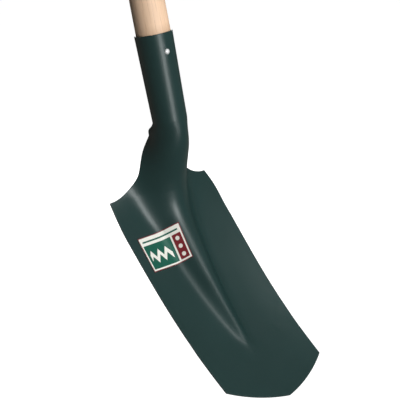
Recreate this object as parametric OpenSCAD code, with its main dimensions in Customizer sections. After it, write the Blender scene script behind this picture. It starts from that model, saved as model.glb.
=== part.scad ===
// Trenching spade: a long ash handle in a narrow steel blade that is pressed from one sheet.
// The sheet's upper end is rolled into a tapered socket with an open seam at the back. Below it a
// swan neck leans back and swings forward again, the rolled edges open out into two shoulders, and
// the neck's roundness runs down the front of the blade as a ridge that narrows to a point.
// The origin is on the handle's axis at the socket's mouth. +Z runs up the handle and the blade's
// front faces -Y. Stations are distances down the front of the sheet from the socket's mouth, and
// a place on the sheet is a station and a distance sideways along the sheet from its middle line.

/* [Handle] */
// Diameter of the handle
handle_d = 38; // [34:1:42]
// Length of the handle with its tenon
handle_len = 1100; // [800:10:1300]
// Depth of the tenon in the socket
tenon_len = 90; // [60:1:94]
// Rounding of the handle's top end
handle_round = 12; // [4:1:16]
// Gap between the tenon and the socket
tenon_gap = 0.1; // [0.05:0.05:0.3]

/* [Socket] */
// Thickness of the sheet steel
sheet_t = 2; // [1.5:0.1:2.5]
// Length of the round socket
socket_len = 96; // [90:1:110]
// How much less the radius is at the socket's lower end
socket_taper = 2; // [1:0.1:3]
// Width of the open seam at the back
seam_gap = 0.8; // [0.4:0.1:2]

/* [Neck] */
// Slope of the neck, back from the handle's axis, in degrees
neck_slope = 25.6; // [15:0.1:30]
// Length of the upper bend
upper_bend = 44.2; // [30:0.1:50]
// Length of the straight stretch between the bends
neck_len = 15.4; // [12:0.1:40]
// Length of the lower bend
lower_bend = 52.6; // [50:0.1:85]
// Share by which the neck swells behind the upper bend
swell = 0.28; // [0:0.01:0.3]
// Length over which the swelling fades
swell_len = 31; // [12:0.1:40]
// Station where the seam starts to open
seam_end = 116; // [100:0.5:125]
// Station where the shoulders start
neck_end = 162.3; // [150:0.1:165]
// Half the width of the sheet where the shoulders start
neck_half = 47.6; // [40:0.1:52]

/* [Blade] */
// Width of the blade at its shoulders
blade_w = 148; // [130:0.5:170]
// Width of the blade at its lower corners
blade_tip_w = 144.5; // [130:0.5:170]
// Station of the shoulders' corners
shoulder_at = 178.4; // [175:0.1:195]
// Length of the blade's sides
side_len = 219.4; // [190:0.1:260]
// How far the cutting edge's middle stands out below its corners
edge_rise = 29.8; // [15:0.1:40]
// Radius of each half of the cutting edge
edge_r = 216; // [150:1:400]
// Forward slope of the blade below the lower bend, in degrees
blade_slope = 24; // [5:0.1:30]
// Forward slope of the blade at its cutting edge, in degrees
tip_slope = 46.2; // [20:0.1:50]
// Slope of the blade's sides towards the front at the shoulders, in degrees
wing_slope = 1.4; // [0:0.1:18]
// Slope of the sides at the lower corners, in degrees
wing_tip_slope = 5.5; // [0:0.1:12]
// Extra slope of the sides half way down, in degrees
wing_mid_slope = 8.2; // [0:0.1:16]

/* [Ridge] */
// Steepest slope of the ridge's flanks at the shoulders, in degrees
ridge_slope = 44; // [30:0.5:60]
// Steepest slope of the flanks near the ridge's end, in degrees
ridge_tip_slope = 59; // [30:0.5:60]
// Half the width of the ridge at the shoulders' corners, along the sheet
ridge_half = 51; // [35:0.5:60]
// Half the width of the ridge near its end, along the sheet
ridge_tip_half = 9; // [6:0.5:20]
// Extra half width where the ridge runs out into the shoulders
ridge_flare = 7.5; // [0:0.5:20]
// Station where the ridge ends
ridge_end = 353; // [320:0.1:370]
// Length of the ridge's rounded end
ridge_nose = 10; // [8:1:20]

/* [Blends] */
// Length over which the neck swells to its full depth
swell_in = 12; // [8:1:14]
// How far above the seam's opening the sheet starts to unroll
unroll_lead = 10; // [6:1:14]
// How far below the shoulders' corners the sheet is fully open
unroll_trail = 14.8; // [10:0.1:20]
// How far above the shoulders' corners the ridge's flare starts to fade
flare_lead = 7; // [4:1:12]
// How far below the shoulders' corners the flare has faded
flare_trail = 35; // [20:1:45]
// How far above and below the shoulders' corners the ridge's taper sets in
taper_ease = 12; // [6:1:16]

/* [Nail] */
// Diameter of the nail's shank
nail_d = 3.1; // [2.5:0.1:4]
// Length of the nail's shank
nail_len = 30; // [20:1:34]
// Diameter of the nail's domed head
nail_head_d = 6.2; // [5:0.1:8]
// Height of the domed head
nail_head_h = 1.8; // [1:0.1:2.5]
// Distance of the nail below the socket's mouth
nail_at = 20.5; // [12:0.5:40]
// Turn of the nail about the handle from the middle of the front, in degrees
nail_turn = -9.5; // [-20:0.5:20]

/* [Label] */
// Width of the label
label_w = 56.5; // [30:0.5:70]
// Height of the label
label_h = 40; // [20:1:50]
// Station of the label's top edge
label_top = 209.5; // [205:0.5:240]
// Place of the label's left edge, sideways from the middle line
label_left = -67.5; // [-70:0.5:-40]
// Thickness of the label
label_t = 0.2; // [0.1:0.05:0.3]

/* [Hidden] */
$fn = 96;

handle_r = handle_d / 2;
mouth_r = handle_r + tenon_gap + sheet_t;
neck_r = mouth_r - socket_taper;
// Lean of the socket's front line, negative because it leans back
socket_slope = -atan2(socket_taper, socket_len);
// How deep the neck's sheet lies inside both faces of the socket's wall, where they join
join_step = 0.1;
// How far up into the socket's wall the neck's sheet reaches
join_lap = 1;

// Stations where the bends start and end
bend_1 = socket_len;
bend_2 = bend_1 + upper_bend;
bend_3 = bend_2 + neck_len;
bend_4 = bend_3 + lower_bend;
side_end = shoulder_at + side_len;
sheet_end = side_end + edge_rise;

blade_half = blade_w / 2;
tip_half = blade_tip_w / 2;

// Stations over which the round neck turns into the open blade
unroll_from = seam_end - unroll_lead;
unroll_to = shoulder_at + unroll_trail;
// Stations over which the ridge's flare fades
flare_start = shoulder_at - flare_lead;
flare_end = shoulder_at + flare_trail;

// Smallest radius to which the sheet bends over the ridge's top
ridge_bend_r = 2.5;
// Half width that is left where the ridge has ended
ridge_least = 0.02;

// Number of grid columns on each side of the middle line
half_columns = 24;
// How the columns crowd towards the middle line: 1 is even
column_crowding = 1.25;
// Grid rows in the neck, in the shoulders, down the blade to the ridge's rounded end, round that
// end, and from there to the cutting edge
neck_rows = 15;
shoulder_rows = 11;
ridge_rows = 18;
nose_rows = 5;
plain_rows = 8;
// Steps in which a section's curve and the ridge's flank are summed
section_steps = 24;
// Step of the table that holds the front's middle line
crest_step = 2;

nail_clear = 0.05;
// Gap between the domed head and the socket
nail_seat = 0.08;
nail_point = 5;
// Gap between the label and the sheet's nominal face
label_lift = 0.12;
label_columns = 24;
label_rows = 8;

function clamp(x, low, high) = max(low, min(high, x));
function mix(a, b, t) = a + (b - a) * t;
// Smooth rise from 0 at a to 1 at b
function ramp(a, b, x) = let (t = clamp((x - a) / (b - a), 0, 1)) t * t * (3 - 2 * t);
function total(v) = [for (i = v) 1] * v;
function unit(v) = v / norm(v);

// Slope of the front's middle line at station s, positive towards the front
function crest_slope(s) =
    socket_slope
    + (-neck_slope - socket_slope) * ramp(bend_1, bend_2, s)
    + (blade_slope + neck_slope) * ramp(bend_3, bend_4, s)
    + (tip_slope - blade_slope) * ramp(bend_4, sheet_end, s);

// Tilt of the section at station s: level in the socket, square to the middle line further down
function section_tilt(s) = crest_slope(s) - socket_slope * (1 - ramp(bend_1, bend_2, s));

// Share of the ridge's taper that is done at station s, from 0 in the neck to 1 at the ridge's end
function taper_share(s) =
    let (below = clamp(s, shoulder_at - taper_ease, ridge_end) - shoulder_at)
    (below > taper_ease ? below : pow(below + taper_ease, 2) / (4 * taper_ease)) / (ridge_end - shoulder_at);

// Half the width of the ridge at station s
function ridge_width(s) =
    let (from_end = clamp((ridge_end - s) / ridge_nose, 0, 1))
    mix(ridge_half, ridge_tip_half, taper_share(s)) * sqrt(1 - pow(1 - from_end, 2))
    + ridge_flare * (1 - ramp(flare_start, flare_end, s))
    + ridge_least;

// Steepest slope of the ridge's flanks at station s, less where the top would bend too sharply
function flank_slope(s) =
    min(
        mix(ridge_slope, ridge_tip_slope, taper_share(s)),
        ridge_width(s) / (PI * ridge_bend_r) * 180 / PI
    );

function ridge_height(s) =
    ridge_width(s) / section_steps
    * total([for (i = [0.5 : section_steps]) sin(flank_slope(s) * sin(180 * i / section_steps))]);

// How much narrower each half of the ridge is than the sheet in it, at station s
function ridge_slack(s) =
    ridge_width(s) / section_steps
    * total([for (i = [0.5 : section_steps]) 1 - cos(flank_slope(s) * sin(180 * i / section_steps))]);

// How far the ridge's top has come down towards the blade at station s
function ridge_fall(s) = ridge_height(socket_len) - ridge_height(s);

// The middle line below the socket if the ridge kept its full height, as
// [distance in front of the axis, height] at each step
full_line = [
    for (
        i = 0, front = neck_r, z = -socket_len;
        i <= (sheet_end - socket_len) / crest_step + 2;
        front = front + sin(crest_slope(socket_len + (i + 0.5) * crest_step)) * crest_step,
        z = z - cos(crest_slope(socket_len + (i + 0.5) * crest_step)) * crest_step,
        i = i + 1
    ) [front, z]
];

crest_line = [
    for (i = [0 : len(full_line) - 1])
        let (s = socket_len + i * crest_step, tilt = section_tilt(s))
        full_line[i] - ridge_fall(s) * [cos(tilt), sin(tilt)]
];

function crest(s) =
    s < socket_len
        ? [neck_r + (socket_len - s) * socket_taper / socket_len, -s]
        : let (k = (s - socket_len) / crest_step, i = floor(k)) mix(crest_line[i], crest_line[i + 1], k - i);

function socket_r(s) = s < socket_len ? mix(mouth_r, neck_r, s / socket_len) : neck_r;

// Turn of the sheet away from the section's front tangent, at station s and distance q sideways.
// The rolled sheet turns by half a circle on each side at most.
function rolled_turn(s, q) = clamp(q / socket_r(s) * 180 / PI, -180, 180);
function ridge_turn(s, q) =
    flank_slope(s) * sin(180 * min(abs(q) / ridge_width(s), 1)) * sign(q);
function wing_turn(s, q) =
    let (u = clamp((s - shoulder_at) / side_len, 0, 1))
    (mix(wing_slope, wing_tip_slope, u) + wing_mid_slope * 4 * u * (1 - u)) * q / blade_half;
function sheet_turn(s, q) =
    mix(rolled_turn(s, q), ridge_turn(s, q) - wing_turn(s, q), ramp(unroll_from, unroll_to, s));

// Place on the section, as [sideways, behind the middle line]
function section_place(s, q) =
    total([
        for (i = [0 : section_steps - 1])
            let (turn = sheet_turn(s, q * (i + 0.5) / section_steps)) [cos(turn), sin(turn)]
    ]) * q / section_steps;

function swelling(s) =
    1 + swell * ramp(bend_1, bend_1 + swell_in, s)
        * (1 - ramp(bend_1 + swell_in, bend_1 + swell_in + swell_len, s));

// Point on the sheet's nominal front face
function sheet_point(s, q) =
    let (line = crest(s), tilt = section_tilt(s), place = section_place(s, q))
    let (behind = place[1] * swelling(s))
    [place[0], behind * cos(tilt) - line[0], line[1] - behind * sin(tilt)];

// Half the width of the rolled sheet at station s in the neck
function neck_width(s) =
    mix(PI * socket_r(s) - seam_gap / 2 - join_step, neck_half, ramp(seam_end, neck_end, s));

// How far the cutting edge stands out at a share v of the half width: two arcs that meet in a
// blunt point, each from a lower corner to the middle
function edge_drop(v) =
    let (chord = norm([tip_half, edge_rise]), lift = sqrt(edge_r * edge_r - chord * chord / 4))
    let (centre = [tip_half * lift / chord, edge_rise * lift / chord])
    let (x = abs(v) * tip_half - tip_half / 2 + edge_rise * lift / chord)
    edge_rise / 2 - tip_half * lift / chord + sqrt(edge_r * edge_r - x * x);

columns = [for (i = [-half_columns : half_columns]) sign(i) * pow(abs(i) / half_columns, column_crowding)];

// Places of the blade's rows, as shares of its length down the middle line
nose_share = (ridge_end - ridge_nose - shoulder_at) / (sheet_end - shoulder_at);
plain_share = (ridge_end - shoulder_at) / (sheet_end - shoulder_at);
blade_shares = [
    for (i = [1 : ridge_rows]) nose_share * i / ridge_rows,
    for (i = [1 : nose_rows]) mix(nose_share, plain_share, i / nose_rows),
    for (i = [1 : plain_rows]) mix(plain_share, 1, i / plain_rows),
];

// The sheet's grid, row by row from inside the socket's wall down to the cutting edge
sheet_grid = [
    [for (v = columns) sheet_point(socket_len - join_lap, v * neck_width(socket_len - join_lap))],
    for (i = [0 : neck_rows])
        let (s = mix(socket_len, neck_end, i / neck_rows)) [for (v = columns) sheet_point(s, v * neck_width(s))],
    for (i = [1 : shoulder_rows])
        let (share = i / shoulder_rows, turn = 90 * share)
        [
            for (v = columns)
                sheet_point(
                    mix(neck_end, shoulder_at, mix(share, sin(turn), v * v)),
                    v * mix(blade_half + ridge_slack(shoulder_at), neck_half, cos(turn))
                )
        ],
    for (u = blade_shares)
        [
            for (v = columns)
                sheet_point(
                    shoulder_at + u * (side_len + edge_drop(v)),
                    v * (mix(blade_half, tip_half, u * u) + ridge_slack(shoulder_at + u * side_len))
                )
        ],
];

// Directions out of a grid's front face
function grid_normals(grid) =
    let (last_row = len(grid) - 1, last_column = len(grid[0]) - 1)
    [
        for (i = [0 : last_row])
            [
                for (j = [0 : last_column])
                    unit(cross(
                        grid[min(i + 1, last_row)][j] - grid[max(i - 1, 0)][j],
                        grid[i][min(j + 1, last_column)] - grid[i][max(j - 1, 0)]
                    ))
            ]
    ];

// A plate whose front and back faces lie at the given distances in front of a grid
module plate(grid, front, back) {
    rows = len(grid);
    wide = len(grid[0]);
    count = rows * wide;
    out = grid_normals(grid);
    faces_points = [
        for (level = [front, back]) for (i = [0 : rows - 1]) for (j = [0 : wide - 1])
            grid[i][j] + out[i][j] * level
    ];
    front_faces = [
        for (i = [0 : rows - 2]) for (j = [0 : wide - 2])
            let (a = i * wide + j, b = a + 1, c = a + wide + 1, d = a + wide)
            each [[a, b, c], [a, c, d]]
    ];
    back_faces = [for (f = front_faces) [f[2] + count, f[1] + count, f[0] + count]];
    rim = [
        for (j = [0 : wide - 2]) j,
        for (i = [0 : rows - 2]) i * wide + wide - 1,
        for (j = [wide - 1 : -1 : 1]) (rows - 1) * wide + j,
        for (i = [rows - 1 : -1 : 1]) i * wide,
    ];
    rim_faces = [
        for (k = [0 : len(rim) - 1])
            let (a = rim[k], b = rim[(k + 1) % len(rim)])
            each [[b, a, a + count], [b, a + count, b + count]]
    ];
    polyhedron(faces_points, concat(front_faces, back_faces, rim_faces), convexity = 10);
}

module nail_place() {
    axis_r = socket_r(nail_at);
    rotate([0, 0, nail_turn]) translate([0, -axis_r, -nail_at]) rotate([-90, 0, 0]) children();
}

module nail_hole() {
    nail_place() translate([0, 0, -sheet_t]) cylinder(d = nail_d + 2 * nail_clear, h = nail_len + sheet_t + nail_clear);
}

module socket() {
    difference() {
        rotate_extrude()
            polygon([
                [mouth_r - sheet_t, 0],
                [mouth_r, 0],
                [neck_r, -socket_len],
                [neck_r - sheet_t, -socket_len],
            ]);
        translate([-seam_gap / 2, 0, -socket_len - 1]) cube([seam_gap, 2 * mouth_r, socket_len + 2]);
        nail_hole();
    }
}

module head() {
    color([0.16, 0.24, 0.23]) {
        socket();
        plate(sheet_grid, -join_step, join_step - sheet_t);
    }
}

module handle() {
    free_len = handle_len - tenon_len;
    tenon_r = mouth_r - sheet_t - tenon_gap;
    tenon_end_r = tenon_r - socket_taper * tenon_len / socket_len;
    color([0.85, 0.70, 0.55])
        difference() {
            rotate_extrude() {
                polygon([[0, -tenon_len], [tenon_end_r, -tenon_len], [tenon_r, 0], [0, 0]]);
                square([handle_r, free_len - handle_round]);
                square([handle_r - handle_round, free_len]);
                intersection() {
                    translate([handle_r - handle_round, free_len - handle_round]) circle(handle_round);
                    square([handle_r, free_len]);
                }
            }
            nail_hole();
        }
}

module nail() {
    dome_r = (pow(nail_head_d / 2, 2) + nail_head_h * nail_head_h) / (2 * nail_head_h);
    color([0.75, 0.76, 0.76])
        nail_place() {
            translate([0, 0, -nail_seat]) {
                cylinder(d = nail_d, h = nail_len - nail_point);
                translate([0, 0, nail_len - nail_point]) cylinder(d1 = nail_d, d2 = 0.4, h = nail_point);
                intersection() {
                    translate([0, 0, dome_r - nail_head_h]) sphere(dome_r);
                    translate([0, 0, -nail_head_h]) cylinder(d = nail_head_d, h = nail_head_h);
                }
            }
        }
}

module label() {
    grid = [
        for (i = [0 : label_rows])
            [
                for (j = [0 : label_columns])
                    sheet_point(
                        label_top + label_h * i / label_rows,
                        label_left + label_w * j / label_columns
                    )
            ]
    ];
    color([0.85, 0.87, 0.84]) plate(grid, label_lift + label_t, label_lift);
}

head();
handle();
nail();
label();
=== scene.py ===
"""Trenching spade: a painted steel head, an ash handle, the nail that holds it and a printed label.

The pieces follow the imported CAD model. Lengths are in metres, except on the label's print, which
is laid out in millimetres. +Z runs up the handle and the front of the blade faces -Y.
"""
import math

import bpy
from mathutils import Matrix, Vector


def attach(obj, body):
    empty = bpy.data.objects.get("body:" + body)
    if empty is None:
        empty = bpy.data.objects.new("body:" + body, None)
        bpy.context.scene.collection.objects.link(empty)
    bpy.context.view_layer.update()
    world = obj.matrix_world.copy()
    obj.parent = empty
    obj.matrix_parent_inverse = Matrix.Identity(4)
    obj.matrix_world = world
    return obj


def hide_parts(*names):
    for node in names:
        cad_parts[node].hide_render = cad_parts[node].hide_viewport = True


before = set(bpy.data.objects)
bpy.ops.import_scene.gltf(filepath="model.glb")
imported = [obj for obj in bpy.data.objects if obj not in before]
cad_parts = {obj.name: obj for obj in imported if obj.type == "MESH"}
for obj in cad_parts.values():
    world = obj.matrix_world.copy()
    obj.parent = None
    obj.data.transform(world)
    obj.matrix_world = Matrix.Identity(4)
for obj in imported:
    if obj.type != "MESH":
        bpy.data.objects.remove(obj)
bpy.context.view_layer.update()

MM = 0.001

# Camera: where it stands, seen from the spade, in degrees, and what it looks at
VIEW_AZIMUTH = -41.36
VIEW_ELEVATION = 10.77
VIEW_ROLL = -10.87
VIEW_DISTANCE = 3.0
TARGET = Vector((0, 0, -0.2))
# How far right of the target and above it the middle of the picture lies
AIM_RIGHT = 0.01332
AIM_UP = 0.01388
# Width of the view at the target, and the sensor that goes with the lens, in millimetres
VIEW_WIDTH = 0.4340
SENSOR_WIDTH = 36.0

# Floor and background: how bright they look, and how much of the lamps' light the floor gives back
FLOOR_LEVEL = -0.62
FLOOR_SIZE = 24.0
FLOOR_GLOW = 1.0
FLOOR_SHADE = 0.25
# The world's light on the spade, as a share of what the camera sees
AMBIENT = 0.015

# Round studio wall, with an opening behind the spade of this many degrees to each side
WALL_RADIUS = 3.4
WALL_TOP = 4.0
WALL_FOOT = -0.6
WALL_PANELS = 72
WALL_OPENING = 8
# Its faint glow is nothing right behind the spade, and full from this share of the radius towards
# the camera
WALL_GLOW = 0.22
WALL_GLOW_FULL = -0.4
WALL_COLOUR = (1.0, 0.98, 0.88, 1.0)

# Distance of the lamps from the target
FRONT_DISTANCE = 2.2
BACK_DISTANCE = 2.8

# Meshes of the CAD nodes: points closer than this are one, and flat pairs of triangles are a quad
MERGE_REACH = 0.005 * MM
QUAD_FLATNESS = math.radians(30)
QUAD_SKEW = math.radians(60)

# Cut edges that are sharper than this angle are rounded by these amounts
EDGE_ANGLE = math.radians(50)
EDGE_STEPS = 2
RIM_ROUNDING = 0.45 * MM
NAIL_ROUNDING = 0.15 * MM
# Where the socket meets the rolled sheet, and how near to it an edge belongs to the join
SOCKET_LENGTH = 96 * MM
JOIN_REACH = 0.6 * MM
# How much the weighted normals favour large faces
NORMAL_WEIGHT = 90

# The part of the ridge that is rounded more: heights where this starts, is full and ends
SOFT_FROM = -256 * MM
SOFT_FULL = -305 * MM
SOFT_END = -372 * MM
SOFT_HALF = 44 * MM
SOFT_MARGIN = 12 * MM
SOFT_STEPS = 110
SOFT_FACTOR = 0.5

# A noise texture keeps mostly between these values
NOISE_LOW = 0.3
NOISE_HIGH = 0.7
NOISE_ROUGHNESS = 0.55
TINT_DETAIL = 3.0


def colour(red, green, blue):
    """Linear colour from the red, green and blue that a screen shows, each from 0 to 255."""
    parts = [c / 255 for c in (red, green, blue)]
    linear = [c / 12.92 if c <= 0.04045 else ((c + 0.055) / 1.055) ** 2.4 for c in parts]
    return (*linear, 1.0)


# Paint
PAINT = (0.0084, 0.0312, 0.0302, 1.0)
PAINT_ROUGHNESS = (0.34, 0.38)
PAINT_IOR = 1.5
PEEL_STRENGTH = 0.12
PEEL_HEIGHT = 0.05 * MM

# Ash: the pith lies outside the handle, and each ring starts with early wood full of pores
WOOD = colour(235, 202, 171)
WOOD_STREAK = colour(220, 182, 146)
WOOD_RING = colour(205, 165, 130)
WOOD_PORE = colour(150, 108, 76)
WOOD_ROUGHNESS = (0.44, 0.56)
WOOD_IOR = 1.5
PITH = (0.105, 0.035, 0.0)
RING_WANDER = 9 * MM
RING_SPACING = 3.1 * MM
EARLY_WOOD = 0.55
# Where the noise becomes a pore, a streak or a smudge, and how much of its colour each has at most
PORE_NOISE = (0.56, 0.68)
STREAK_NOISE = (0.35, 0.75)
SMUDGE_NOISE = (0.4, 0.6)
PORE_SHARE = 0.5
STREAK_SHARE = 0.3
RING_SHARE = 0.2
SMUDGE_SHARE = 0.35
SMUDGE_LEAST = 0.2
SMUDGE_HEIGHT = 10 * MM
WOOD_RELIEF_STRENGTH = 0.25
WOOD_RELIEF = 0.15 * MM

# Zinc
ZINC = (0.86, 0.88, 0.89, 1.0)
ZINC_ROUGHNESS = (0.4, 0.55)
ZINC_METALLIC = 0.5
DENT_STRENGTH = 0.3
DENT_HEIGHT = 0.05 * MM

# The label's print. Each box gives its left, right, bottom and top, in millimetres.
LABEL_WIDTH = 56.5
LABEL_HEIGHT = 40.0
LABEL_RIM = 0.9
PANEL = (2.6, 41.5, 2.6, 30.0)
BLOCK = (43.5, 53.9, 2.6, 30.0)
LINE = (4.2, 52.3, 33.2, 35.0)
ZIGZAG = (6.2, 37.9, 2.6, 30.0)
# The zigzag's first turn, the width of a stroke, its rise for its width, its foot and half its height
ZIGZAG_START = 4.0
ZIGZAG_RUN = 5.6
ZIGZAG_STEEPNESS = 1.5
ZIGZAG_FOOT = 11.5
ZIGZAG_HALF = 3.4
# The dots are two half gaps apart, and the first is half a gap above the start
DOT_START = 3.0
DOT_HALF_GAP = 4.4
DOT_RADIUS = 2.3
LABEL_GREEN = colour(8, 84, 68)
LABEL_RED = colour(112, 26, 34)
LABEL_PALE = colour(226, 226, 218)
LABEL_ROUGHNESS = (0.36, 0.48)
LABEL_IOR = 1.4
FILM_STRENGTH = 0.1
FILM_HEIGHT = 0.03 * MM
# Faces of the label with less area than this are on its rim
LABEL_RIM_AREA = 3 * MM * MM

# Sockets of a Mix node that mixes colours, whose names its sockets for other kinds have too
MIX_SHARE, MIX_A, MIX_B, MIX_RESULT = 0, 6, 7, 2


def direction(azimuth, elevation):
    """Unit vector from the spade towards a place at this azimuth and elevation, in degrees."""
    a, e = math.radians(azimuth), math.radians(elevation)
    return Vector((math.sin(a) * math.cos(e), -math.cos(a) * math.cos(e), math.sin(e)))


class Tree:
    """Adds nodes to one node tree, and gives their inputs a value or a link."""

    def __init__(self, tree):
        self.tree = tree

    def add(self, kind, inputs=(), output=0, **settings):
        """Adds a node and returns one of its outputs, or None where it has none."""
        node = self.tree.nodes.new(kind)
        for name, value in settings.items():
            setattr(node, name, value)
        for key, value in dict(inputs).items():
            self.feed(node.inputs[key], value)
        return node.outputs[output] if node.outputs else None

    def feed(self, socket, value):
        if isinstance(value, bpy.types.NodeSocket):
            self.tree.links.new(value, socket)
        else:
            socket.default_value = value

    def group(self, tree, inputs):
        node = self.tree.nodes.new("ShaderNodeGroup")
        node.node_tree = tree
        for name, value in inputs.items():
            self.feed(node.inputs[name], value)
        return node.outputs[0]

    def object_place(self):
        return self.add("ShaderNodeTexCoord", output="Object")

    def math(self, operation, a, b=0.0, c=0.0):
        return self.add("ShaderNodeMath", {0: a, 1: b, 2: c}, operation=operation)

    def vector_math(self, operation, a, b=(0.0, 0.0, 0.0), output="Vector"):
        return self.add("ShaderNodeVectorMath", {0: a, 1: b}, output, operation=operation)

    def between(self, value, low, high):
        """1 where the value lies from low to high, else 0."""
        above = self.math("GREATER_THAN", value, low)
        below = self.math("LESS_THAN", value, high)
        return self.math("MULTIPLY", above, below)

    def remap(self, value, low, high, to_low, to_high):
        inputs = {"Value": value, "From Min": low, "From Max": high, "To Min": to_low, "To Max": to_high}
        return self.add("ShaderNodeMapRange", inputs)

    def spread(self, noise, to_low, to_high):
        """Noise drawn out so that it runs between these two values."""
        return self.remap(noise, NOISE_LOW, NOISE_HIGH, to_low, to_high)

    def blend(self, share, a, b):
        """Colour a where the share is 0, and b where it is 1."""
        inputs = {MIX_SHARE: share, MIX_A: a, MIX_B: b}
        return self.add("ShaderNodeMix", inputs, MIX_RESULT, data_type="RGBA")

    def bump(self, height, strength, distance):
        return self.add("ShaderNodeBump", {"Height": height, "Strength": strength, "Distance": distance})


def new_group(name, inputs, outputs):
    """An empty node group with these sockets, each a name and a type, and its input and output nodes."""
    tree = bpy.data.node_groups.new(name, "ShaderNodeTree")
    for socket_name, kind in inputs:
        tree.interface.new_socket(socket_name, in_out="INPUT", socket_type="NodeSocket" + kind)
    for socket_name, kind in outputs:
        tree.interface.new_socket(socket_name, in_out="OUTPUT", socket_type="NodeSocket" + kind)
    return tree, tree.nodes.new("NodeGroupInput"), tree.nodes.new("NodeGroupOutput")


def make_grain_group():
    """Fine irregularity of a surface: a value round 0.5, drawn out along Z by the stretch."""
    tree, given, result = new_group(
        "surface_grain",
        [("Vector", "Vector"), ("Scale", "Float"), ("Stretch", "Float"), ("Detail", "Float")],
        [("Value", "Float")],
    )
    t = Tree(tree)
    lengthwise = t.math("DIVIDE", 1.0, given.outputs["Stretch"])
    squeeze = t.add("ShaderNodeCombineXYZ", {"X": 1.0, "Y": 1.0, "Z": lengthwise})
    noise = t.add(
        "ShaderNodeTexNoise",
        {
            "Vector": t.vector_math("MULTIPLY", given.outputs["Vector"], squeeze),
            "Scale": given.outputs["Scale"],
            "Detail": given.outputs["Detail"],
            "Roughness": NOISE_ROUGHNESS,
        },
    )
    t.feed(result.inputs["Value"], noise)
    return tree


def make_tint_group():
    """A colour that drifts a little lighter and darker over the surface."""
    tree, given, result = new_group(
        "tint_drift",
        [("Vector", "Vector"), ("Colour", "Color"), ("Scale", "Float"), ("Amount", "Float")],
        [("Colour", "Color")],
    )
    t = Tree(tree)
    noise = t.add(
        "ShaderNodeTexNoise",
        {"Vector": given.outputs["Vector"], "Scale": given.outputs["Scale"], "Detail": TINT_DETAIL},
    )
    less = t.math("SUBTRACT", 1.0, given.outputs["Amount"])
    more = t.math("ADD", 1.0, given.outputs["Amount"])
    value = t.spread(noise, less, more)
    drifted = t.add("ShaderNodeHueSaturation", {"Color": given.outputs["Colour"], "Value": value})
    t.feed(result.inputs["Colour"], drifted)
    return tree


GRAIN = make_grain_group()
TINT = make_tint_group()


def new_material(name):
    """A material with an empty tree, for the caller to fill."""
    material = bpy.data.materials.new(name)
    material.use_nodes = True
    material.node_tree.nodes.clear()
    return material, Tree(material.node_tree)


def finish_material(t, shader_inputs):
    """Adds the Principled shader with these inputs, and the material's output."""
    shader = t.add("ShaderNodeBsdfPrincipled", shader_inputs)
    t.add("ShaderNodeOutputMaterial", {"Surface": shader})


def painted_steel():
    """Dark green satin paint, sprayed on the pressed sheet."""
    material, t = new_material("painted_steel")
    place = t.object_place()
    base = t.group(TINT, {"Vector": place, "Colour": PAINT, "Scale": 22.0, "Amount": 0.05})
    peel = t.group(GRAIN, {"Vector": place, "Scale": 620.0, "Stretch": 1.0, "Detail": 2.0})
    cloud = t.group(GRAIN, {"Vector": place, "Scale": 35.0, "Stretch": 1.0, "Detail": 3.0})
    finish_material(
        t,
        {
            "Base Color": base,
            "Roughness": t.spread(cloud, *PAINT_ROUGHNESS),
            "IOR": PAINT_IOR,
            "Normal": t.bump(peel, PEEL_STRENGTH, PEEL_HEIGHT),
        },
    )
    return material


def ash_wood():
    """Turned ash: growth rings round a pith outside the handle, open pores and a drift of colour."""
    material, t = new_material("ash_wood")
    place = t.object_place()
    wander = t.group(GRAIN, {"Vector": place, "Scale": 28.0, "Stretch": 9.0, "Detail": 2.0})
    pores = t.group(GRAIN, {"Vector": place, "Scale": 1500.0, "Stretch": 32.0, "Detail": 2.0})
    streaks = t.group(GRAIN, {"Vector": place, "Scale": 420.0, "Stretch": 45.0, "Detail": 3.0})
    base = t.group(TINT, {"Vector": place, "Colour": WOOD, "Scale": 14.0, "Amount": 0.04})

    shifted = t.add("ShaderNodeMapping", {"Vector": place, "Location": PITH})
    flat = t.vector_math("MULTIPLY", shifted, (1.0, 1.0, 0.0))
    radius = t.vector_math("LENGTH", flat, output="Value")
    bent = t.math("MULTIPLY_ADD", wander, RING_WANDER, radius)
    ring = t.math("FRACT", t.math("DIVIDE", bent, RING_SPACING))
    early = t.remap(ring, 0.0, EARLY_WOOD, 1.0, 0.0)
    pore_mask = t.math("MULTIPLY", t.remap(pores, *PORE_NOISE, 0.0, 1.0), early)

    streaked = t.blend(t.remap(streaks, *STREAK_NOISE, 0.0, STREAK_SHARE), base, WOOD_STREAK)
    ringed = t.blend(t.math("MULTIPLY", early, RING_SHARE), streaked, WOOD_RING)
    pored = t.blend(t.math("MULTIPLY", pore_mask, PORE_SHARE), ringed, WOOD_PORE)
    height = t.add("ShaderNodeSeparateXYZ", {"Vector": place}, "Z")
    near_socket = t.remap(height, 0.0, SMUDGE_HEIGHT, SMUDGE_SHARE, 0.0)
    smudge = t.math("MULTIPLY", near_socket, t.remap(wander, *SMUDGE_NOISE, SMUDGE_LEAST, 1.0))
    relief = t.math("SUBTRACT", streaks, pore_mask)
    finish_material(
        t,
        {
            "Base Color": t.blend(smudge, pored, WOOD_PORE),
            "Roughness": t.spread(streaks, *WOOD_ROUGHNESS),
            "IOR": WOOD_IOR,
            "Normal": t.bump(relief, WOOD_RELIEF_STRENGTH, WOOD_RELIEF),
        },
    )
    return material


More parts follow.
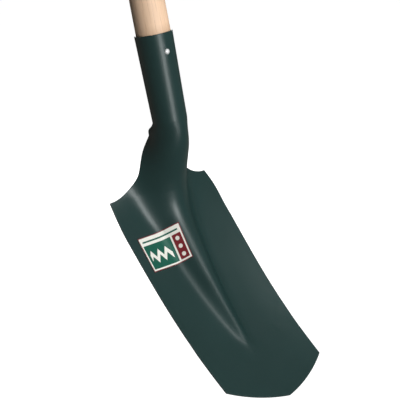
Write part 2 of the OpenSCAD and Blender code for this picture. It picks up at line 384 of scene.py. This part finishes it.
def zinc_plate():
    """Zinc plating, a little dull and marked by the hammer."""
    material, t = new_material("zinc_plate")
    place = t.object_place()
    base = t.group(TINT, {"Vector": place, "Colour": ZINC, "Scale": 900.0, "Amount": 0.06})
    dents = t.group(GRAIN, {"Vector": place, "Scale": 1400.0, "Stretch": 1.0, "Detail": 3.0})
    finish_material(
        t,
        {
            "Base Color": base,
            "Roughness": t.spread(dents, *ZINC_ROUGHNESS),
            "Metallic": ZINC_METALLIC,
            "Normal": t.bump(dents, DENT_STRENGTH, DENT_HEIGHT),
        },
    )
    return material


def print_masks(t, across, up):
    """Masks of the print's parts, from the place on the flat label in millimetres."""

    def box(left, right, bottom, top):
        return t.math("MULTIPLY", t.between(across, left, right), t.between(up, bottom, top))

    field = box(LABEL_RIM, LABEL_WIDTH - LABEL_RIM, LABEL_RIM, LABEL_HEIGHT - LABEL_RIM)
    block = box(*BLOCK)

    wave = t.math("PINGPONG", t.math("SUBTRACT", across, ZIGZAG_START), ZIGZAG_RUN)
    middle = t.math("MULTIPLY_ADD", wave, ZIGZAG_STEEPNESS, ZIGZAG_FOOT)
    offset = t.math("ABSOLUTE", t.math("SUBTRACT", up, middle))
    zigzag = t.math("MULTIPLY", t.math("LESS_THAN", offset, ZIGZAG_HALF), box(*ZIGZAG))

    row = t.math("PINGPONG", t.math("SUBTRACT", up, DOT_START), DOT_HALF_GAP)
    dot_up = t.math("SUBTRACT", row, DOT_HALF_GAP)
    dot_across = t.math("SUBTRACT", across, (BLOCK[0] + BLOCK[1]) / 2)
    square = t.math("MULTIPLY_ADD", dot_up, dot_up, t.math("MULTIPLY", dot_across, dot_across))
    dots = t.math("MULTIPLY", t.math("LESS_THAN", t.math("SQRT", square), DOT_RADIUS), block)
    return field, box(*PANEL), block, box(*LINE), zigzag, dots


def printed_label():
    """Printed film: a pale field with a green panel, a red block and a green line.

    The panel has a zigzag and the block three dots. A thin red rim goes round it all.
    """
    material, t = new_material("printed_label")
    uv = t.add("ShaderNodeTexCoord", output="UV")
    across = t.math("MULTIPLY", t.add("ShaderNodeSeparateXYZ", {"Vector": uv}, "X"), LABEL_WIDTH)
    up = t.math("MULTIPLY", t.add("ShaderNodeSeparateXYZ", {"Vector": uv}, "Y"), LABEL_HEIGHT)
    field, panel, block, line, zigzag, dots = print_masks(t, across, up)
    print_colour = LABEL_RED
    for mask, ink in (
        (field, LABEL_PALE),
        (panel, LABEL_GREEN),
        (block, LABEL_RED),
        (line, LABEL_GREEN),
        (zigzag, LABEL_PALE),
        (dots, LABEL_PALE),
    ):
        print_colour = t.blend(mask, print_colour, ink)
    place = t.object_place()
    base = t.group(TINT, {"Vector": place, "Colour": print_colour, "Scale": 160.0, "Amount": 0.03})
    grain = t.group(GRAIN, {"Vector": place, "Scale": 900.0, "Stretch": 1.0, "Detail": 2.0})
    finish_material(
        t,
        {
            "Base Color": base,
            "Roughness": t.spread(grain, *LABEL_ROUGHNESS),
            "IOR": LABEL_IOR,
            "Normal": t.bump(grain, FILM_STRENGTH, FILM_HEIGHT),
        },
    )
    return material


def only(piece):
    """Selects this piece alone and makes it active."""
    bpy.ops.object.select_all(action="DESELECT")
    piece.select_set(True)
    bpy.context.view_layer.objects.active = piece


def copy_of(node, name):
    """A merged copy of a CAD node, with its faces joined to quads."""
    only(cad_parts[node])
    bpy.ops.object.duplicate()
    piece = bpy.context.view_layer.objects.active
    piece.name = piece.data.name = name
    piece.parent = None
    for key in list(piece.keys()):
        del piece[key]
    bpy.ops.mesh.customdata_custom_splitnormals_clear()
    bpy.ops.object.mode_set(mode="EDIT")
    bpy.ops.mesh.select_mode(type="EDGE")
    bpy.ops.mesh.select_all(action="SELECT")
    bpy.ops.mesh.remove_doubles(threshold=MERGE_REACH)
    bpy.ops.mesh.tris_convert_to_quads(face_threshold=QUAD_FLATNESS, shape_threshold=QUAD_SKEW)
    bpy.ops.mesh.select_all(action="DESELECT")
    bpy.ops.object.mode_set(mode="OBJECT")
    return piece


def settle(piece, material, replaced):
    """Gives a finished piece its material and its place in the frame."""
    piece.data.materials.clear()
    piece.data.materials.append(material)
    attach(piece, "root")
    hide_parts(replaced)


def apply_modifier(piece, kind, **settings):
    only(piece)
    modifier = piece.modifiers.new(kind.lower(), kind)
    for name, value in settings.items():
        setattr(modifier, name, value)
    bpy.ops.object.modifier_apply(modifier=modifier.name)


def soften_ridge(head):
    """Rounds the two bends of the ridge more and more towards its lower end."""
    group = head.vertex_groups.new(name="soft_ridge")
    for vertex in head.data.vertices:
        x, _, z = vertex.co
        depth = (SOFT_FROM - z) / (SOFT_FROM - SOFT_FULL)
        inside = min((SOFT_HALF - abs(x)) / SOFT_MARGIN, (z - SOFT_END) / SOFT_MARGIN)
        group.add([vertex.index], max(0.0, min(1.0, depth, inside)), "REPLACE")
    apply_modifier(head, "SMOOTH", factor=SOFT_FACTOR, iterations=SOFT_STEPS, vertex_group=group.name)


def make_head():
    """The pressed sheet, with the cut edges of its rim, seam and nail hole rounded.

    The small step where the socket meets the rolled sheet stays as it is.
    """
    head = copy_of("head", "spade_head")
    bpy.ops.object.mode_set(mode="EDIT")
    bpy.ops.mesh.edges_select_sharp(sharpness=EDGE_ANGLE)
    bpy.ops.object.mode_set(mode="OBJECT")
    vertices = head.data.vertices
    for edge in head.data.edges:
        heights = [vertices[i].co.z for i in edge.vertices]
        if all(abs(z + SOCKET_LENGTH) < JOIN_REACH for z in heights):
            edge.select = False
    bpy.ops.object.mode_set(mode="EDIT")
    bpy.ops.mesh.bevel(offset=RIM_ROUNDING, segments=EDGE_STEPS, affect="EDGES", clamp_overlap=False)
    bpy.ops.object.mode_set(mode="OBJECT")
    only(head)
    bpy.ops.object.shade_smooth()
    apply_modifier(head, "SUBSURF", levels=1)
    soften_ridge(head)
    apply_modifier(head, "WEIGHTED_NORMAL", mode="FACE_AREA", weight=NORMAL_WEIGHT, keep_sharp=True)
    settle(head, painted_steel(), "head")


def lay_out_print(mesh):
    """Lays the printed face's quads out as an even grid that fills the unit UV square."""
    bpy.ops.object.mode_set(mode="EDIT")
    bpy.ops.mesh.select_mode(type="FACE")
    bpy.ops.object.mode_set(mode="OBJECT")
    mesh.uv_layers.active = mesh.uv_layers.new(name="print")
    printed = [face.index for face in mesh.polygons if face.area > LABEL_RIM_AREA and face.normal.y < 0]
    for index in printed:
        mesh.polygons[index].select = True
    first = mesh.polygons[printed[0]]
    mesh.polygons.active = first.index
    for i in first.loop_indices:
        away = mesh.vertices[mesh.loops[i].vertex_index].co - first.center
        mesh.uv_layers["print"].data[i].uv = (away.x > 0, away.z > 0)
    bpy.ops.object.mode_set(mode="EDIT")
    bpy.ops.uv.select_all(action="SELECT")
    bpy.ops.uv.follow_active_quads(mode="EVEN")
    bpy.ops.object.mode_set(mode="OBJECT")
    places = mesh.uv_layers["print"].data
    corners = [i for index in printed for i in mesh.polygons[index].loop_indices]
    low = [min(places[i].uv[axis] for i in corners) for axis in (0, 1)]
    high = [max(places[i].uv[axis] for i in corners) for axis in (0, 1)]
    for i in corners:
        places[i].uv = [(places[i].uv[axis] - low[axis]) / (high[axis] - low[axis]) for axis in (0, 1)]


def make_label():
    """The printed film. Its rim and back take the colour of the print's edge."""
    label = copy_of("label", "label_print")
    lay_out_print(label.data)
    settle(label, printed_label(), "label")


def make_handle():
    """The turned stick, smooth but for the sharp edges at the tenon's end and the nail's bore."""
    handle = copy_of("handle", "ash_handle")
    bpy.ops.object.shade_smooth_by_angle(angle=EDGE_ANGLE)
    settle(handle, ash_wood(), "handle")


def make_nail():
    """The nail, its head's rim worn round."""
    nail = copy_of("nail", "zinc_nail")
    bpy.ops.object.mode_set(mode="EDIT")
    bpy.ops.mesh.edges_select_sharp(sharpness=EDGE_ANGLE)
    bpy.ops.mesh.bevel(offset=NAIL_ROUNDING, segments=EDGE_STEPS, affect="EDGES")
    bpy.ops.object.mode_set(mode="OBJECT")
    bpy.ops.object.shade_smooth_by_angle(angle=EDGE_ANGLE)
    settle(nail, zinc_plate(), "nail")


def seen_rays(t):
    """1 for camera, glossy and transmission rays, to which the background is white, else 0."""
    path = t.tree.nodes.new("ShaderNodeLightPath")
    seen = t.math("MAXIMUM", path.outputs["Is Camera Ray"], path.outputs["Is Glossy Ray"])
    return t.math("MAXIMUM", seen, path.outputs["Is Transmission Ray"])


def make_world():
    """White to the camera and to shiny faces, and nearly dark as a light."""
    world = bpy.data.worlds.new("studio")
    bpy.context.scene.world = world
    world.use_nodes = True
    world.node_tree.nodes.clear()
    t = Tree(world.node_tree)
    strength = t.math("MULTIPLY_ADD", seen_rays(t), 1.0 - AMBIENT, AMBIENT)
    background = t.add("ShaderNodeBackground", {"Color": (1, 1, 1, 1), "Strength": strength})
    t.add("ShaderNodeOutputWorld", {"Surface": background})


def make_floor():
    """A plain white floor, which can be seen through from below."""
    bpy.ops.object.select_all(action="DESELECT")
    bpy.ops.mesh.primitive_plane_add(size=FLOOR_SIZE, location=(0, 0, FLOOR_LEVEL))
    floor = bpy.context.active_object
    floor.name = "studio_floor"
    material, t = new_material("studio_floor")
    pale = t.add("ShaderNodeBsdfDiffuse", {"Color": (FLOOR_SHADE, FLOOR_SHADE, FLOOR_SHADE, 1)})
    glow = t.add("ShaderNodeEmission", {"Strength": t.math("MULTIPLY", seen_rays(t), FLOOR_GLOW)})
    lit = t.add("ShaderNodeAddShader", {0: pale, 1: glow})
    clear = t.add("ShaderNodeBsdfTransparent")
    below = t.add("ShaderNodeNewGeometry", output="Backfacing")
    shader = t.add("ShaderNodeMixShader", {0: below, 1: lit, 2: clear})
    t.add("ShaderNodeOutputMaterial", {"Surface": shader})
    floor.data.materials.append(material)


def make_walls():
    """Dim studio walls and ceiling round the lamps, which get darker towards the back.

    They are seen by glossy rays only, so they neither show in a picture nor take light away.
    """
    bpy.ops.object.select_all(action="DESELECT")
    bpy.ops.mesh.primitive_cylinder_add(
        vertices=WALL_PANELS,
        radius=WALL_RADIUS,
        depth=WALL_TOP - WALL_FOOT,
        end_fill_type="NGON",
        location=(0, 0, (WALL_TOP + WALL_FOOT) / 2),
    )
    walls = bpy.context.active_object
    walls.name = "studio_walls"
    bpy.ops.object.transform_apply(location=True)
    behind = -direction(VIEW_AZIMUTH, 0)
    bpy.ops.object.mode_set(mode="EDIT")
    bpy.ops.mesh.select_mode(type="FACE")
    bpy.ops.mesh.select_all(action="DESELECT")
    bpy.ops.object.mode_set(mode="OBJECT")
    for face in walls.data.polygons:
        face.select = face.normal.angle(behind) < math.radians(WALL_OPENING)
    bpy.ops.object.mode_set(mode="EDIT")
    bpy.ops.mesh.delete(type="FACE")
    bpy.ops.object.mode_set(mode="OBJECT")
    material, t = new_material("studio_walls")
    place = t.add("ShaderNodeNewGeometry", output="Position")
    nearness = t.vector_math("DOT_PRODUCT", place, -behind / WALL_RADIUS, output="Value")
    strength = t.remap(nearness, -1.0, WALL_GLOW_FULL, 0.0, WALL_GLOW)
    glow = t.add("ShaderNodeEmission", {"Color": WALL_COLOUR, "Strength": strength})
    t.add("ShaderNodeOutputMaterial", {"Surface": glow})
    walls.data.materials.append(material)
    walls.visible_camera = False
    walls.visible_diffuse = False
    walls.visible_transmission = False
    walls.visible_shadow = False


def make_lamp(name, azimuth, elevation, distance, width, height, power, spread_light=True, shine=True):
    """A softbox that faces the spade. It may leave out the spread light or the shine on glossy faces."""
    lamp = bpy.data.lights.new(name, "AREA")
    lamp.shape = "RECTANGLE"
    lamp.size, lamp.size_y, lamp.energy = width, height, power
    lamp_object = bpy.data.objects.new(name, lamp)
    bpy.context.scene.collection.objects.link(lamp_object)
    towards = direction(azimuth, elevation)
    lamp_object.location = TARGET + towards * distance
    lamp_object.rotation_euler = towards.to_track_quat("Z", "Y").to_euler()
    lamp_object.visible_diffuse = spread_light
    lamp_object.visible_glossy = shine


def make_lamps():
    """Shine and spread light come mostly from lamps of their own, so each can be set by itself."""
    make_lamp("key_strip", -8.2, -3, FRONT_DISTANCE, width=0.6, height=1.75, power=36, spread_light=False)
    make_lamp("top_softbox", 6, 44, FRONT_DISTANCE, width=0.8, height=0.6, power=8, spread_light=False)
    make_lamp("key_softbox", -9.5, 4, FRONT_DISTANCE, width=1.4, height=1.6, power=56, shine=False)
    make_lamp("side_softbox", 40, 35, FRONT_DISTANCE, width=1.2, height=1.2, power=15, shine=False)
    make_lamp("back_fill", 150, 10, BACK_DISTANCE, width=1.6, height=1.6, power=40, shine=False)
    make_lamp("back_softbox", 128, 20, BACK_DISTANCE, width=1.6, height=1.6, power=26)


def make_camera():
    """Places the camera round the target, rolls it and aims it a little off the target."""
    back = direction(VIEW_AZIMUTH, VIEW_ELEVATION)
    level = direction(VIEW_AZIMUTH + 90, 0)
    upright = back.cross(level)
    roll = math.radians(VIEW_ROLL)
    right = level * math.cos(roll) + upright * math.sin(roll)
    above = upright * math.cos(roll) - level * math.sin(roll)
    place = TARGET + back * VIEW_DISTANCE
    back = (place - TARGET - right * AIM_RIGHT - above * AIM_UP).normalized()
    right = above.cross(back).normalized()
    above = back.cross(right)
    camera = bpy.data.cameras.new("camera")
    camera.sensor_width = SENSOR_WIDTH
    camera.lens = SENSOR_WIDTH * VIEW_DISTANCE / VIEW_WIDTH
    camera_object = bpy.data.objects.new("camera", camera)
    bpy.context.scene.collection.objects.link(camera_object)
    turn = Matrix((right, above, back)).transposed().to_4x4()
    camera_object.matrix_world = Matrix.Translation(place) @ turn
    bpy.context.scene.camera = camera_object


make_camera()
make_world()
make_floor()
make_walls()
make_lamps()
make_head()
make_label()
make_handle()
make_nail()

bpy.context.scene.view_settings.view_transform = "Standard"
